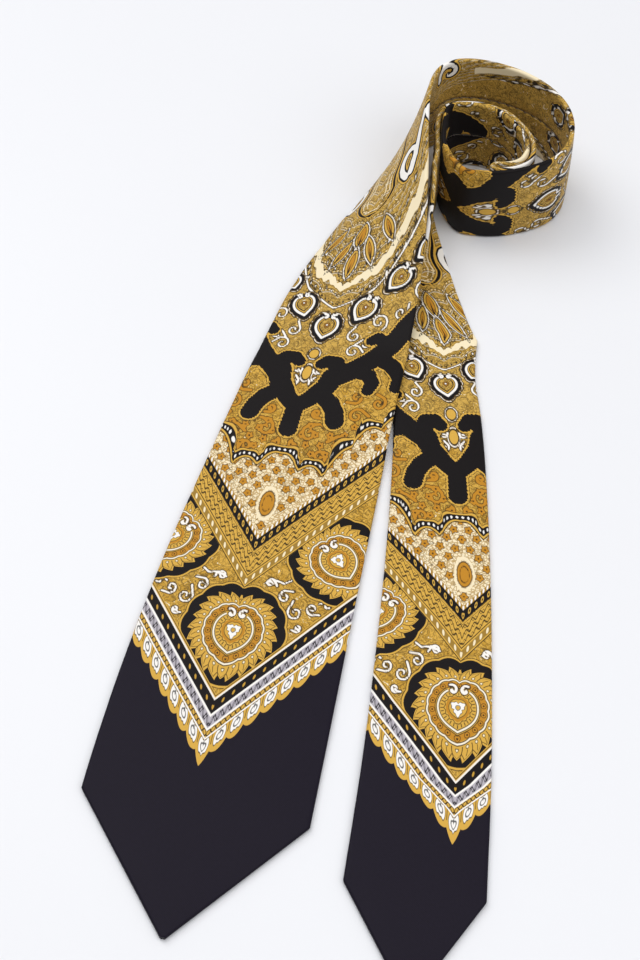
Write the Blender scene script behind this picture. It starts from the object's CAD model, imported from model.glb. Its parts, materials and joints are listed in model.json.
"""Printed silk necktie, lying on a pale table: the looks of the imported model."""
import json
import math

import bpy
import numpy as np
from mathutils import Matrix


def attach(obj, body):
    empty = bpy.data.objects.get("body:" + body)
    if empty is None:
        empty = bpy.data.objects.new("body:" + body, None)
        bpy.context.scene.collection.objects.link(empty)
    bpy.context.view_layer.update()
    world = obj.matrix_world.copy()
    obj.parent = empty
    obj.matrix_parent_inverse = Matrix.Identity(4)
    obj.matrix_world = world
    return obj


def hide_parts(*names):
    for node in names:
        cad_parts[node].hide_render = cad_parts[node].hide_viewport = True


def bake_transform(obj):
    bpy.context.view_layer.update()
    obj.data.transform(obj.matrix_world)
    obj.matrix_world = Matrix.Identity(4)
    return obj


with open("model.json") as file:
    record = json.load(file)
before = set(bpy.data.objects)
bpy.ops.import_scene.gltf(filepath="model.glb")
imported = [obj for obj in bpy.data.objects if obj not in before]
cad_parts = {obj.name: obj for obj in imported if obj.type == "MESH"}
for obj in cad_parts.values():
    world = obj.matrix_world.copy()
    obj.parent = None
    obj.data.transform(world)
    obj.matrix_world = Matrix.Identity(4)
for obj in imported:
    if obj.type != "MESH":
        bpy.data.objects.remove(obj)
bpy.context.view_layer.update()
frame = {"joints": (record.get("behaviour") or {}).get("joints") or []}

MM = 0.001
MM_PER_UV = 100.0        # one unit of the cloth's UV map, in millimetres

# ---------------------------------------------------------------- sizes, in millimetres
BLADE_W, BLADE_POINT, BLADE_VENT = 95.0, 55.0, 50.0
TAIL_W, TAIL_POINT, TAIL_VENT = 57.0, 43.0, 34.0
NECK_W, ROLL_EXTRA = 40.0, 8.0           # extra width left where the blade's taper slows down
TIE_T, SILK_T, TIPPING_T = 2.4, 0.35, 0.25
HEM_W, SEAM_GAP, GIVE = 14.0, 0.6, 0.8
KEEPER_W, KEEPER_L, KEEPER_S = 10.0, 56.0, 122.0
LABEL_L, LABEL_W, LABEL_S = 50.0, 26.0, 92.0
CARE_L, CARE_W = 10.0, 18.0
TACK_L = 7.0
TRIM_T = 0.3
NEST = 2 * TIE_T + 1.0
TAPER_L, TAIL_TAPER_L = 480.0, 250.0
OVER, OVER_FROM, OVER_TO = TIE_T + 0.8, 176.0, 198.0
RISE_FROM, RISE_TO = 240.0, 395.0
CREASE_FROM, CREASE_TO, CREASE_R, LEAN_FROM = 272.0, 376.0, 6.0, 60.0
BLUNT = 2.4
CROWN = 0.45             # how far the pressed face stands proud in its middle
TURN_IN = 5.0            # silk turned in under each back flap
STITCH = np.linspace(-1, 1, 7)           # points along one stitch, from end to end
LINE_STEPS = 40          # places on a side's line for each of its given points
SIDE_STEPS = 48          # steps across the tail where it turns up on its edge
VENT_LEAD = 14.0         # how far before a vent's end the flaps start to stand off
BLADE_FLAT_AT = 140.0    # where they start to lie flat again on the blade
TAIL_FLAT_AFTER = 20.0   # how far past the tail's vent they do
PADDING_TIP, PADDING_END = 12.0, 6.0     # the interlining stops short of the point and of the fold
TIPPING_TIP, TIPPING_EDGE = 8.0, 3.0     # the tipping stops short of the point and of the side edges
FRONT_ROW, BLADE_JOIN, TAIL_JOIN, FIRST_INNER = 3, 35, 14, 11
ORIGIN = np.array([44.0, 130.0])

TAIL_LINE = [
    (54, -65), (62, -15), (68.5, 35), (73.5, 80), (77.5, 125), (79.5, 160), (79.5, 190),
    (82, 215), (87.5, 240), (94, 264), (100, 286), (102.7, 303), (103.2, 318), (105, 329.5),
    (110.5, 336.4), (119, 338), (130, 336.5), (140.5, 331), (147.5, 322.5), (152.5, 312),
    (153, 301.5), (148.5, 292.5), (140, 288.6), (132, 288.4)]
OUTER_LINE = [
    (41, -43), (51, 10), (61, 64), (70.5, 114), (80, 164), (85.5, 190), (90.5, 215),
    (94.8, 238), (97.8, 262), (99.2, 288), (99.8, 312), (101.5, 332), (106.5, 347.5),
    (114.5, 354.6), (125, 356), (137, 353.5), (149, 348), (160, 339), (167.5, 327), (170, 314),
    (167.8, 301.5), (161, 292), (150, 286.2), (137, 283), (125, 283.2), (115.5, 286.6)]


# ---------------------------------------------------------------- camera, light and table
CAMERA_PLACE = (0.001, -0.450, 0.6409)
CAMERA_DOWN = 55         # degrees below level
LENS = 63.75


def add_camera():
    """The camera in front of the tie, looking down on it."""
    data = bpy.data.cameras.new("Camera")
    data.sensor_fit = "VERTICAL"
    data.sensor_height = 36.0
    data.lens = LENS
    data.clip_start = 0.01
    camera = bpy.data.objects.new("Camera", data)
    camera.location = CAMERA_PLACE
    camera.rotation_euler = (math.radians(90 - CAMERA_DOWN), 0, 0)
    bpy.context.scene.collection.objects.link(camera)
    bpy.context.scene.camera = camera


def add_light(name, place, aim, size, power, colour=(1, 1, 1)):
    """A soft round light that looks at aim."""
    data = bpy.data.lights.new(name, "AREA")
    data.shape = "DISK"
    data.size = size
    data.energy = power
    data.color = colour
    light = bpy.data.objects.new(name, data)
    light.location = place
    x, y, z = (a - b for a, b in zip(aim, place))
    light.rotation_euler = (math.atan2(math.hypot(x, y), -z), 0, math.atan2(y, x) - math.pi / 2)
    bpy.context.scene.collection.objects.link(light)


# ---------------------------------------------------------------- shader maths
class Sock:
    """A socket of a shader tree, with arithmetic that adds Math nodes."""

    def __init__(self, tree, out):
        self.tree, self.out = tree, out

    def math(self, kind, *others):
        """A Math node on this socket."""
        return self.tree.add("ShaderNodeMath", {"operation": kind}, self, *others)

    def __add__(self, b): return self.math("ADD", b)
    def __radd__(self, b): return self.math("ADD", b)
    def __sub__(self, b): return self.math("SUBTRACT", b)
    def __mul__(self, b): return self.math("MULTIPLY", b)
    def __rmul__(self, b): return self.math("MULTIPLY", b)
    def __truediv__(self, b): return self.math("DIVIDE", b)
    def __neg__(self): return self.math("MULTIPLY", -1.0)
    def __rsub__(self, b): return self.tree.add("ShaderNodeMath", {"operation": "SUBTRACT"}, b, self)
    def __abs__(self): return self.math("ABSOLUTE")
    def least(self, b): return self.math("MINIMUM", b)
    def most(self, b): return self.math("MAXIMUM", b)
    def sine(self): return self.math("SINE")
    def power(self, b): return self.math("POWER", b)

    def inside(self, soft=0.22):
        """1 where a distance is below nought, with a soft edge."""
        return self.tree.add("ShaderNodeMath", {"operation": "MULTIPLY_ADD", "use_clamp": True},
                             self, -1.0 / soft, 0.5)

    def wave(self, period):
        """Distance to the nearest multiple of a period."""
        return abs(self.tree.add("ShaderNodeMath", {"operation": "WRAP"}, self, period / 2, -period / 2))


class Tree:
    """A material's node tree."""

    def __init__(self, name):
        self.material = bpy.data.materials.new(name)
        self.material.use_nodes = True
        self.nodes = self.material.node_tree.nodes
        self.links = self.material.node_tree.links
        self.nodes.clear()

    def add(self, kind, settings=None, *values, out=0, **named):
        """A node of a type: its settings first, then what its sockets hold."""
        node = self.nodes.new(kind)
        for key, value in (settings or {}).items():
            setattr(node, key, value)
        for i, value in enumerate(values):
            self.put(node.inputs[i], value)
        for key, value in named.items():
            self.put(node.inputs[key.replace("_", " ")], value)
        return Sock(self, node.outputs[out])

    def put(self, socket, value):
        """Link or set one socket."""
        if isinstance(value, Sock):
            self.links.new(value.out, socket)
        elif isinstance(value, tuple) and len(value) == 3 and socket.type == "RGBA":
            socket.default_value = (*value, 1)
        else:
            socket.default_value = value

    def mix(self, amount, a, b):
        """From colour a to colour b."""
        node = self.nodes.new("ShaderNodeMix")
        node.data_type = "RGBA"
        self.put(node.inputs["Factor"], amount)
        self.put(node.inputs[6], a)
        self.put(node.inputs[7], b)
        return Sock(self, node.outputs[2])

    def paint(self, colour, distance, dye, amount=1.0, soft=0.25):
        """Lay a dye where a distance is below nought."""
        return self.mix(distance.inside(soft) * amount, colour, dye)

    def attribute(self, name):
        """One of the print's fields, kept on the mesh."""
        return self.add("ShaderNodeAttribute", {"attribute_name": name}, out=2)

    def cloth(self):
        """The cloth's own place: millimetres right of the print's axis, and along the tie."""
        uv = self.add("ShaderNodeUVMap", {"uv_map": "Cloth"})
        parts = self.nodes.new("ShaderNodeSeparateXYZ")
        self.put(parts.inputs[0], uv)
        return Sock(self, parts.outputs[0]) * MM_PER_UV, Sock(self, parts.outputs[1]) * MM_PER_UV

    def surface(self, colour, roughness, height=None, distance=0.00004, strength=0.5, **constant):
        """Close the tree with its shader, and give back the material."""
        shader = self.nodes.new("ShaderNodeBsdfPrincipled")
        self.put(shader.inputs["Base Color"], colour)
        self.put(shader.inputs["Roughness"], roughness)
        for key, value in constant.items():
            self.put(shader.inputs[key.replace("_", " ")], value)
        if height is not None:
            self.put(shader.inputs["Normal"], self.add(
                "ShaderNodeBump", None, Strength=strength, Distance=distance, Height=height))
        end = self.nodes.new("ShaderNodeOutputMaterial")
        self.links.new(shader.outputs[0], end.inputs[0])
        return self.material


# ---------------------------------------------------------------- dyes, as linear colours
INK = (0.0035, 0.0025, 0.0035)
PLAIN = (0.0030, 0.0018, 0.0080)
PLAIN_LIGHT = (0.0062, 0.0040, 0.0145)
GOLD = (0.640, 0.375, 0.060)
DEEP_GOLD = (0.380, 0.205, 0.022)
AMBER = (0.500, 0.225, 0.018)
CREAM = (0.860, 0.740, 0.500)
WHITE = (0.880, 0.850, 0.800)
PALE = (0.860, 0.790, 0.640)
MIST = (0.440, 0.410, 0.450)
OLIVE = (0.530, 0.380, 0.120)
FAWN = (0.620, 0.520, 0.360)
HONEY = (0.520, 0.290, 0.035)

# the two medallions of the print: across, along, turned by, and size
MEDALLIONS = ((0.0, 83.3, 0.0, 0.88), (37.6, 126.6, 0.70, 0.83))
MEDALLION_TALL = 1.10
TWILL_PITCH, THREAD_PITCH = 0.85, 0.5    # of the silk's ribs, and of its single threads
CHEVRON = 1.25           # how far a chevron climbs along the tie for each millimetre across


def twill(tree, p, v):
    """Height of the silk's fine diagonal weave, with a slow wander in its thread."""
    ribs = ((p * 0.80 + v * 1.0) * (2 * math.pi / TWILL_PITCH)).sine()
    fine = (v * (2 * math.pi / THREAD_PITCH)).sine() * (p * (2 * math.pi / THREAD_PITCH)).sine()
    return ribs * 0.35 + fine * 0.4


def filigree(t, x, v, place):
    """Gold ground: seeds and leaves between fine dark stems, with paler flecks."""
    bend = t.add("ShaderNodeTexNoise", None, Vector=place, Scale=0.16, Detail=0.0)
    sway = t.add("ShaderNodeTexNoise", None, Vector=place, Scale=0.42, Detail=0.0, out=1)
    swayed = t.add("ShaderNodeVectorMath", {"operation": "MULTIPLY_ADD"}, sway, (6.0, 6.0, 0.0), place)
    cell = dict(Vector=swayed, Scale=0.44, Randomness=0.9)
    stems = t.add("ShaderNodeTexVoronoi", {"feature": "DISTANCE_TO_EDGE"}, **cell)
    seed = t.add("ShaderNodeTexVoronoi", {"feature": "F1"}, **cell)
    shade = t.add("ShaderNodeTexVoronoi", {"feature": "F1"}, **cell, out=1)
    tone = t.add("ShaderNodeSeparateColor", None, shade)
    curls = (x * 1.5 + bend * 30.0).sine() + (v * 1.35 - bend * 34.0).sine()
    ink = (stems - 0.055).inside(0.09) * 0.85
    ink = ink.most((abs(seed - 0.25) - 0.024).inside(0.06) * 0.55)
    ink = ink.most((abs(curls) - 0.10).inside(0.18) * 0.75)
    gold = t.mix(tone.math("GREATER_THAN", 0.66), GOLD, HONEY)
    gold = t.mix(((232.0 - v) * 0.05).inside(1.0) * 0.28, gold, OLIVE)
    ground = t.mix((seed - 0.19).inside(0.06) * tone.math("LESS_THAN", 0.42), gold, CREAM)
    ground = t.mix(ink * 0.80, ground, INK)
    layer = v - x * x * 0.040 - abs((x * (math.pi / 9.0)).sine()) * 2.6
    above = (272.0 - layer).inside(0.5)
    fold = layer.wave(6.4)
    ground = t.mix(above, ground, t.paint(ground, (layer + 1.3).wave(6.4) - 0.42, FAWN, 0.9))
    ground = t.mix(above, ground, t.paint(ground, abs(fold - 0.9) - 0.17, INK, 0.85))
    bead = (fold * fold + x.wave(1.9) * x.wave(1.9)).power(0.5)
    return t.mix(above, ground, t.paint(ground, bead - 0.40, CREAM, 0.9)), seed


def drawn_shapes(t, colour, seed, place):
    """The curved shapes of the print, whose distances the cloth carries as attributes."""
    lace = t.add("ShaderNodeTexVoronoi", {"feature": "DISTANCE_TO_EDGE"}, Vector=place, Scale=0.62,
                 Randomness=1.0)
    lace_colour = t.mix((lace - 0.10).inside(0.10) * 0.75, CREAM, DEEP_GOLD)
    lace_colour = t.mix((abs(seed - 0.30) - 0.035).inside(0.06) * 0.60, lace_colour, INK)
    colour = t.mix(t.attribute("cream").inside(0.3), colour, lace_colour)
    colour = t.paint(colour, t.attribute("solid_cream"), CREAM)
    solid, amber, black = t.attribute("solid_gold"), t.attribute("amber"), t.attribute("black")
    colour = t.paint(colour, solid, GOLD)
    colour = t.paint(colour, abs(solid) - 0.16, INK, 0.8)
    colour = t.paint(colour, amber, AMBER)
    colour = t.paint(colour, abs(amber) - 0.17, INK, 0.85)
    colour = t.paint(colour, t.attribute("line"), INK, 0.92)
    colour = t.paint(colour, abs(black - 0.42) - 0.42, GOLD)
    colour = t.paint(colour, abs(black - 1.00) - 0.16, INK, 0.85)
    return t.paint(colour, black, INK)


def medallion_print(t, colour, x, v):
    """The two heart-shaped medallions, ring by ring from the palmettes to the middle."""
    (_, v0, _, size), (side_x, side_v, turn, side_size) = MEDALLIONS
    dx, dy = (x - side_x) * (1 / side_size), (v - side_v) * (1 / side_size)
    a, b = x * (1 / size), (v - v0) * (1 / size / MEDALLION_TALL)
    side_a = dx * math.cos(turn) + dy * math.sin(turn)
    side_b = (dy * math.cos(turn) - dx * math.sin(turn)) * (1 / MEDALLION_TALL)
    beside = (side_a * side_a + side_b * side_b).math("LESS_THAN", a * a + b * b)
    a, b = a + (side_a - a) * beside, b + (side_b - b) * beside
    angle = a.math("ARCTAN2", -b)
    tip, dip = abs(angle) * (-1 / 0.34), (abs(angle) - math.pi) * (1 / 0.36)
    heart = tip.math("EXPONENT") * 0.24 - dip.math("EXPONENT") * 0.18 + 1.0
    r = (a * a + b * b).power(0.5) / heart

    # palmettes: swept leaves with a vein, a fine contour and a seed at the root
    sweep = (r - 15.5) * (r - 15.5) * 0.026
    leaf = (angle * (23 / math.pi) + sweep).wave(2.0)
    spikes = leaf * -2.6 + 22.2 + (angle * 6.0).sine() * 0.5
    across = leaf * r * (math.pi / 23)
    gap = (1.0 - leaf) * r * (math.pi / 23)
    colour = t.paint(colour, r - spikes, GOLD)
    colour = t.paint(colour, abs(r - spikes + 1.0) - 0.17, INK, 0.85)
    colour = t.paint(colour, (gap - 0.20).most(16.2 - r).most(r - 20.6), INK, 0.9)
    colour = t.paint(colour, (across - 0.18).most(18.0 - r).most(r - 20.3), INK, 0.85)
    root = (across * across + (r - 16.9) * (r - 16.9)).power(0.5)
    colour = t.paint(colour, root - 0.85, INK, 0.85)
    colour = t.paint(colour, root - 0.52, CREAM)

    # a white wavy line round amber lobes
    wavy = r - 14.4 - abs((angle * 8.0).sine()) * 0.55
    colour = t.paint(colour, abs(wavy) - 0.85, INK, 0.85)
    colour = t.paint(colour, abs(wavy) - 0.38, PALE)
    colour = t.paint(colour, abs(r - 12.4) - 1.45, AMBER)
    berry = (angle * (9 / math.pi)).wave(1.0) * (12.6 * math.pi / 9)
    lobe = (berry * berry + (r - 12.4) * (r - 12.4)).power(0.5)
    colour = t.paint(colour, abs(lobe - 1.25) - 0.16, INK, 0.8)
    colour = t.paint(colour, lobe - 0.45, INK, 0.9)
    colour = t.paint(colour, abs(r - 10.9) - 0.20, INK, 0.9)

    # the inner heart
    colour = t.paint(colour, r - 10.7, GOLD)
    open_top = (abs(angle) - 2.55) * 9.0
    colour = t.paint(colour, (abs(r - 9.6) - 0.85).most(open_top), INK, 0.85)
    colour = t.paint(colour, (abs(r - 9.6) - 0.42).most(open_top), PALE)
    tick = (angle * (15 / math.pi)).wave(1.0) * r * (math.pi / 15)
    colour = t.paint(colour, (tick - 0.22).most(abs(r - 7.7) - 0.75), INK, 0.85)
    colour = t.paint(colour, abs(r - 6.4 - (angle * 14.0).sine() * 0.3) - 0.20, INK, 0.9)
    colour = t.paint(colour, abs(r - 5.2) - 0.62, AMBER)
    colour = t.paint(colour, abs(r - 4.4) - 0.18, INK, 0.85)
    petals = r - 2.9 - (angle * 3.0 + math.pi / 2).sine() * 0.65 - (angle * 9.0 + math.pi / 2).sine() * 0.3
    colour = t.paint(colour, petals - 0.35, INK, 0.85)
    colour = t.paint(colour, petals, WHITE)
    colour = t.paint(colour, r - 1.35, INK, 0.8)
    return t.paint(colour, r - 0.95, GOLD)


def straight_borders(t, colour, x, c):
    """The borders that run along the chevron, each as its middle and half its depth."""
    def band(colour, low, high, dye, amount=1.0):
        return t.paint(colour, abs(c - (low + high) / 2) - (high - low) / 2, dye, amount, 0.3)

    def beads(colour, middle, radius, period, dye, stretch=1.0):
        along, away = x.wave(period) * (1.6 / stretch), (c - middle) * 0.62
        return t.paint(colour, (along * along + away * away).power(0.5) - radius, dye)

    def vine(colour, middle, half, pitch, swing, thick, turn=0.0):
        stem = abs((x * pitch + turn).sine() * swing + (c - middle)) - thick
        return t.paint(colour, stem.most(abs(c - middle) - half), INK, 0.9, 0.35)

    # above the medallions: a beaded line, rows of curls, and a black line of rings
    colour = band(colour, 104.7, 123.9, GOLD)
    colour = band(colour, 104.7, 105.3, INK)
    colour = band(colour, 106.1, 110.1, INK, 0.50)
    colour = beads(colour, 108.1, 0.86, 2.7, CREAM)
    colour = band(colour, 111.1, 111.7, INK)
    for row, middle in enumerate((113.9, 117.4, 120.9)):
        colour = vine(colour, middle, 1.7, 1.9, 1.25, 0.42, row * 1.7)
        colour = vine(colour, middle, 1.7, 3.8, 0.75, 0.22, row * 1.1 + 1.0)
    colour = band(colour, 122.8, 123.2, INK, 0.8)
    colour = band(colour, 124.5, 130.6, INK)
    colour = beads(colour, 127.5, 1.0, 2.7, GOLD)
    colour = beads(colour, 127.5, 0.45, 2.7, INK)
    colour = band(colour, 130.6, 133.0, DEEP_GOLD)
    colour = beads(colour, 131.8, 0.70, 1.7, WHITE)

    # below them: a pale line, the black line of beads, the chain and the zigzag
    colour = t.paint(colour, c - 51.3, GOLD, 1.0, 0.3)
    colour = band(colour, 50.1, 50.7, INK, 0.85)
    colour = t.paint(colour, c - 49.5, WHITE, 0.9, 0.3)
    colour = t.paint(colour, c - 48.3, INK, 1.0, 0.3)
    colour = beads(colour, 44.9, 0.66, 3.5, HONEY, 1.2)
    colour = band(colour, 33.8, 41.8, WHITE)
    colour = band(colour, 35.1, 40.4, MIST)
    colour = vine(colour, 37.7, 2.4, 2.6, 1.6, 0.62)
    colour = vine(colour, 37.7, 2.4, 2.6, 1.6, 0.40, 1.57)
    colour = band(colour, 30.6, 33.9, GOLD)
    colour = vine(colour, 32.2, 1.6, 1.9, 1.5, 0.50)
    colour = vine(colour, 32.2, 1.6, 1.9, 1.5, 0.50, 3.14)
    colour = band(colour, 33.8, 34.7, WHITE)
    return band(colour, 29.6, 30.6, WHITE)


def scallops(t, colour, x, c, plain):
    """The scalloped edging: gold lobes, each with a white flower, and plain silk beyond."""
    side = x.wave(5.7)
    lobe = 2.9 - side * side * 0.36 + (1.0 - x * 0.22).most(0.0) * 1.3
    under = (c - 29.6).inside(0.3)
    away = (c - 26.0) * 0.62
    reach = (side * side + away * away).power(0.5)
    petal = reach + (side * 3.4).sine() * 0.30 - 2.15
    colour = t.mix(under, colour, GOLD)
    colour = t.paint(colour, (abs(side - 2.85) - 0.16).most(24.6 - c).most(c - 29.6), INK, 0.8)
    colour = t.mix(under, colour, t.paint(colour, petal - 0.34, INK, 0.85))
    colour = t.mix(under, colour, t.paint(colour, petal, WHITE))
    mark = (abs(reach - 1.05) - 0.20).least(abs(side) + abs(c - 27.9) * 0.25 - 0.36)
    colour = t.mix(under, colour, t.paint(colour, mark, INK, 0.9))
    return t.paint(colour, c - 21.9 + lobe, plain, 1.0, 0.3)


def printed_silk():
    t = Tree("Printed silk twill")
    p, v = t.cloth()
    x = abs(p)
    c = v - x * CHEVRON
    place = t.add("ShaderNodeCombineXYZ", None, p, v, 0.0)
    colour, seed = filigree(t, x, v, place)
    colour = drawn_shapes(t, colour, seed, place)
    colour = medallion_print(t, colour, x, v)
    white = t.attribute("white")
    colour = t.paint(colour, abs(white - 0.22) - 0.22, INK, 0.85)
    colour = t.paint(colour, white, WHITE)
    colour = straight_borders(t, colour, x, c)
    noise = t.add("ShaderNodeTexNoise", None, Vector=place, Scale=0.9, Detail=3.0)
    colour = scallops(t, colour, x, c, t.mix(noise, PLAIN, PLAIN_LIGHT))

    weave = twill(t, p, v)
    shade = t.add("ShaderNodeMath", {"operation": "MULTIPLY_ADD", "use_clamp": True}, weave, 0.05, 0.05)
    colour = t.mix(shade * 0.30, colour, (0.30, 0.25, 0.20))
    rough = t.add("ShaderNodeMath", {"operation": "MULTIPLY_ADD"}, noise, 0.10, 0.43)
    return t.surface(colour, rough, weave, 0.00003, 0.45, Sheen_Weight=0.03, Sheen_Roughness=0.4,
                     Specular_IOR_Level=0.09)


def lining_wool():
    t = Tree("Brushed wool interlining")
    p, v = t.cloth()
    place = t.add("ShaderNodeCombineXYZ", None, p, v, 0.0)
    fuzz = t.add("ShaderNodeTexNoise", None, Vector=place, Scale=1.6, Detail=6.0, Roughness=0.7)
    threads = abs((p * 4.2).sine()) * 0.5 + abs((v * 4.2).sine()) * 0.5
    colour = t.mix(fuzz, (0.62, 0.58, 0.48), (0.82, 0.79, 0.70))
    colour = t.mix(threads * 0.3, colour, (0.50, 0.46, 0.38))
    return t.surface(colour, 0.95, threads * 0.5 + fuzz, 0.00015, 0.6, Sheen_Weight=0.3)


def tipping_silk():
    t = Tree("Plain tipping silk")
    p, v = t.cloth()
    place = t.add("ShaderNodeCombineXYZ", None, p, v, 0.0)
    slub = t.add("ShaderNodeTexNoise", None, Vector=place, Scale=0.5, Detail=4.0)
    ribs = ((p + v) * 6.0).sine()
    colour = t.mix(slub, (0.018, 0.014, 0.022), (0.034, 0.026, 0.040))
    colour = t.mix((ribs * 0.5 + 0.5) * 0.25, colour, (0.06, 0.048, 0.066))
    return t.surface(colour, slub * 0.12 + 0.34, ribs, 0.00003, 0.5, Sheen_Weight=0.2)


def sewing_thread():
    t = Tree("Twisted sewing thread")
    place = t.add("ShaderNodeTexCoord", None, out=3)
    twist = t.add("ShaderNodeTexWave", {"bands_direction": "DIAGONAL"}, Vector=place, Scale=1400.0)
    colour = t.mix(twist, (0.012, 0.009, 0.014), (0.075, 0.055, 0.075))
    return t.surface(colour, twist * 0.1 + 0.5, twist, 0.00005, 0.8)


def label_satin():
    t = Tree("Woven label")
    p, v = t.cloth()
    along = abs(v - LABEL_S)
    across = abs(p)
    ribs = (v * 9.0).sine()
    warp = (p * 12.0).sine()
    colour = t.mix((ribs * 0.5 + 0.5) * 0.5, (0.012, 0.010, 0.015), (0.030, 0.025, 0.034))
    rim = abs(along - (LABEL_W / 2 - 3.0)).least(abs(across - (LABEL_L / 2 - 3.0)))
    rim = rim.most((along - (LABEL_W / 2 - 2.7)).most(across - (LABEL_L / 2 - 2.7)))
    colour = t.mix((rim - 0.45).inside(0.25) * (warp * 0.2 + 0.8), colour, (0.50, 0.33, 0.09))
    return t.surface(colour, 0.42, ribs * 0.6 + warp * 0.4, 0.00005, 0.6)


def care_satin():
    t = Tree("White satin tag")
    p, v = t.cloth()
    place = t.add("ShaderNodeCombineXYZ", None, p, v, 0.0)
    ribs = (p * 14.0).sine()
    stain = t.add("ShaderNodeTexNoise", None, Vector=place, Scale=0.3, Detail=3.0)
    colour = t.mix(stain, (0.80, 0.78, 0.73), (0.88, 0.87, 0.83))
    colour = t.mix((ribs * 0.5 + 0.5) * 0.15, colour, (0.60, 0.58, 0.54))
    return t.surface(colour, 0.36, ribs, 0.00003, 0.5)


def table_top():
    t = Tree("Pale table")
    place = t.add("ShaderNodeTexCoord", None, out=3)
    tone = t.add("ShaderNodeTexNoise", None, Vector=place, Scale=3.0, Detail=2.0)
    colour = t.mix(tone, (0.770, 0.775, 0.795), (0.800, 0.805, 0.825))
    return t.surface(colour, 0.45)


# ---------------------------------------------------------------- the tie's two sides
def ease(x):
    """A smooth step from 0 to 1."""
    x = np.clip(x, 0, 1)
    return x * x * (3 - 2 * x)


def unit(a):
    """Vectors of length one."""
    return a / np.maximum(np.linalg.norm(a, axis=-1, keepdims=True), 1e-12)


def right_of(d):
    """The direction to the right of d, seen from above."""
    d = unit(np.asarray(d, float))
    return np.stack([d[..., 1], -d[..., 0]], -1)


def smooth_line(points, after, steps=LINE_STEPS):
    """A smooth curve through the points, leaving the last one towards the point after it."""
    q = np.vstack([2 * points[0] - points[1], points, after])
    a, b, c, d = q[:-3, None], q[1:-2, None], q[2:-1, None], q[3:, None]
    f = (np.arange(steps) / steps)[None, :, None]
    line = (2 * b + (c - a) * f + (2 * a - 5 * b + 4 * c - d) * f**2 + (3 * b - a - 3 * c + d) * f**3) / 2
    return np.vstack([line.reshape(-1, 2), points[-1]])


def lengths(line):
    """How far along a line each of its points lies."""
    return np.concatenate([[0], np.cumsum(np.linalg.norm(np.diff(line, axis=0), axis=1))])


tail_points = np.array(TAIL_LINE, float)
last = len(tail_points) - 1
beside = [right_of(tail_points[min(i + 1, last)] - tail_points[i - 1]) for i in range(FIRST_INNER, last + 1)]
inner_points = tail_points[FIRST_INNER:] + NEST * np.array(beside)
fold_point = (tail_points[last] + NEST / 2 * beside[-1]
              + NEST / 2 * unit(tail_points[last] - tail_points[last - 1]))
blade_points = np.vstack([OUTER_LINE, inner_points, fold_point])
tail_points = np.vstack([tail_points, fold_point])


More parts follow.
